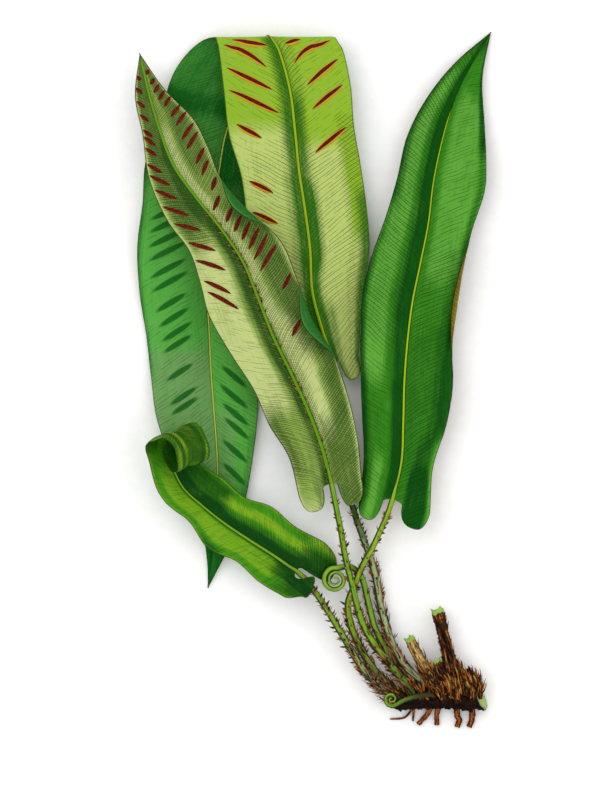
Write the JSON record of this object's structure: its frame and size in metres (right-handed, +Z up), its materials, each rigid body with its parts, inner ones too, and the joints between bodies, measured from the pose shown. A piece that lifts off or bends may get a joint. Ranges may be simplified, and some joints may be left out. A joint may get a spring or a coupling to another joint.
{
  "type": "harts tongue fern",
  "caption": "Whole lifted harts tongue fern: strap-shaped waved fronds with raised sori, croziers and old stalk stubs on a short rhizome with cut roots, lying flat.",
  "frame": {"origin": "on the surface that the plant lies on, at the small flat spot under the rhizome", "axes": "+Z up from the surface, +Y along the fronds from the rhizome towards the top of the plant, +X towards the cut end of the rhizome"},
  "size_m": [0.1783, 0.3482, 0.0397],
  "materials": {
    "blade_upper": "satin green upper side of a fern frond",
    "blade_under": "matt pale yellow-green underside with red-brown sori",
    "blade_young": "satin bright green of a young frond",
    "stalk": "matt lime green leaf stalk with brown scales",
    "crozier": "satin lime green of an unrolling frond",
    "stub_tan": "dry sandy tan broken leaf stalk",
    "stub_dark": "dry dark brown broken leaf stalk with pale green cut top",
    "rhizome": "rough dark brown scaly rhizome and roots"
  },
  "bodies": {
    "root": {"frond_right_blade": "blade_upper", "frond_front_blade": "blade_under", "frond_back_blade": "blade_under", "frond_young_blade": "blade_young", "frond_right_stipe": "stalk", "frond_front_stipe": "stalk", "frond_back_stipe": "stalk", "frond_young_stipe": "stalk", "crozier_tall": "crozier", "crozier_low": "crozier", "old_stipe_tan": "stub_tan", "old_stipe_tall": "stub_dark", "old_stipe_small": "stub_dark", "old_stipe_rear": "stub_dark", "rhizome": "rhizome"}
  },
  "joints": []
}
